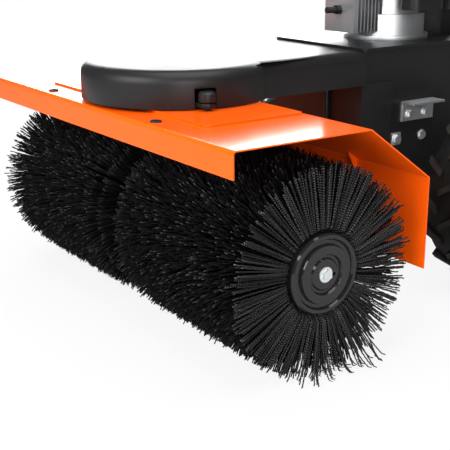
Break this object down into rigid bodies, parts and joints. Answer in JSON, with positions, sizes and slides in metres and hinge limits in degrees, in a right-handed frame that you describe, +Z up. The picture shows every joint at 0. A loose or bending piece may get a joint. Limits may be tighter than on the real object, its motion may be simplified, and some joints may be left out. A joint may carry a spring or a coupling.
{
  "type": "power brush sweeper",
  "caption": "Walk-behind power brush sweeper: split rotary bristle brush under a folded sheet-metal hood, driven by belt and gear case from an engine on a two-wheel tractor.",
  "frame": {"origin": "centre of the machine's bounding box at floor level", "axes": "+Z up, -Y forward towards the brush, +X towards the left hand of an operator who faces forward, the near end in the picture"},
  "size_m": [1, 1.63, 1.0006],
  "materials": {
    "orange_paint": "glossy powder coat",
    "rubber": "matte",
    "black_paint": "satin paint",
    "black_gloss": "gloss paint",
    "bronze": "machined",
    "steel": "machined",
    "zinc": "bright zinc plating",
    "cast_metal": "cast",
    "black_plastic": "moulded",
    "bristle": "crimped monofilament",
    "tyre": "matte"
  },
  "bodies": {
    "chassis": {"case_frame": "black_paint", "engine_deck": "black_paint", "boom": "black_paint", "king_post": "steel", "post_ring": "steel", "drive_cover": "black_plastic", "front_cover": "black_plastic", "side_brackets": "zinc", "case_bolts": "zinc", "transaxle": "cast_metal", "brush_belt": "rubber", "engine_base": "cast_metal", "engine_cylinder": "cast_metal", "blower_housing": "black_plastic", "starter_cover": "black_plastic", "fuel_tank": "black_plastic", "muffler": "steel", "air_cleaner": "black_plastic", "spark_plug": "black_plastic", "handle_left": "black_paint", "handle_right": "black_paint", "control_panel": "black_plastic", "grips": "rubber"},
    "head": {"hood": "orange_paint", "top_plate": "orange_paint", "hood_grommets": "rubber", "swivel_housing": "black_paint", "swivel_bushes": "bronze", "gear_case_left": "black_paint", "gear_case_right": "black_paint", "shaft_bearings": "steel", "shaft_seals": "rubber", "head_bolts": "zinc"},
    "brush": {"brush_shaft": "steel", "crown_gear": "steel", "core_left": "black_paint", "core_right": "black_paint", "bristles_left": "bristle", "bristles_right": "bristle", "end_disc_left": "black_gloss", "end_disc_right": "black_gloss", "end_bolts": "zinc"},
    "input_drive": {"input_shaft": "steel", "pinion": "steel", "driven_pulley": "cast_metal"},
    "engine_drive": {"engine_shaft": "steel", "engine_pulley": "cast_metal"},
    "wheel_left": {"tyre_left": "tyre", "rim_left": "black_paint", "axle_left": "steel"},
    "wheel_right": {"tyre_right": "tyre", "rim_right": "black_paint", "axle_right": "steel"},
    "clamp": {"clamp_knob": "black_plastic"},
    "brush_clutch": {"brush_lever": "black_paint"},
    "drive_clutch": {"drive_lever": "black_paint"},
    "throttle": {"throttle_lever": "black_plastic"},
    "shift": {"shift_lever": "black_plastic"},
    "starter_pull": {"starter_handle": "black_plastic"},
    "tank_cap": {"fuel_cap": "black_plastic"}
  },
  "joints": [
    {"name": "head_swivel", "type": "hinge", "parent": "chassis", "child": "head", "pos_m": [0, -0.60798, 0.43], "axis": [0, 0, 1], "range_deg": [-20, 20]},
    {"name": "brush_spin", "type": "hinge", "parent": "head", "child": "brush", "pos_m": [0, -0.60798, 0.194], "axis": [1, 0, 0], "continuous": true},
    {"name": "input_spin", "type": "hinge", "parent": "head", "child": "input_drive", "pos_m": [0, -0.60798, 0.35], "axis": [0, 0, 1], "continuous": true},
    {"name": "engine_spin", "type": "hinge", "parent": "chassis", "child": "engine_drive", "pos_m": [0, -0.01798, 0.5], "axis": [0, 0, 1], "continuous": true},
    {"name": "wheel_left_spin", "type": "hinge", "parent": "chassis", "child": "wheel_left", "pos_m": [0.326, 0.05202, 0.209], "axis": [1, 0, 0], "continuous": true},
    {"name": "wheel_right_spin", "type": "hinge", "parent": "chassis", "child": "wheel_right", "pos_m": [-0.326, 0.05202, 0.209], "axis": [1, 0, 0], "continuous": true},
    {"name": "clamp_turn", "type": "hinge", "parent": "chassis", "child": "clamp", "pos_m": [0.2, -0.66498, 0.47], "axis": [0, 0, 1], "range_deg": [-180, 180]},
    {"name": "brush_lever_squeeze", "type": "hinge", "parent": "chassis", "child": "brush_clutch", "pos_m": [0.2165, 0.64202, 0.91], "axis": [1, 0, 0], "range_deg": [-12.5, 0], "stiffness_Nm_per_rad": 2, "springref_deg": 11.46},
    {"name": "drive_lever_squeeze", "type": "hinge", "parent": "chassis", "child": "drive_clutch", "pos_m": [-0.2165, 0.64202, 0.91], "axis": [1, 0, 0], "range_deg": [-12.5, 0], "stiffness_Nm_per_rad": 2, "springref_deg": 11.46},
    {"name": "throttle_tilt", "type": "hinge", "parent": "chassis", "child": "throttle", "pos_m": [0.07, 0.58202, 0.87371], "axis": [1, 0, 0], "range_deg": [-25, 25]},
    {"name": "shift_tilt", "type": "hinge", "parent": "chassis", "child": "shift", "pos_m": [-0.07, 0.58202, 0.87371], "axis": [1, 0, 0], "range_deg": [-25, 25]},
    {"name": "starter_pull_out", "type": "slide", "parent": "chassis", "child": "starter_pull", "axis": [0, 0.6, 0.8], "range_m": [0, 0.3], "stiffness_N_per_m": 15, "springref_m": -0.2},
    {"name": "cap_turn", "type": "hinge", "parent": "chassis", "child": "tank_cap", "pos_m": [0.042, 0.14102, 0.72], "axis": [0, 0, 1], "range_deg": [0, 120]}
  ],
  "couplings": [
    {"joint": "input_spin", "follows": "brush_spin", "ratio": -3},
    {"joint": "engine_spin", "follows": "brush_spin", "ratio": -9}
  ]
}
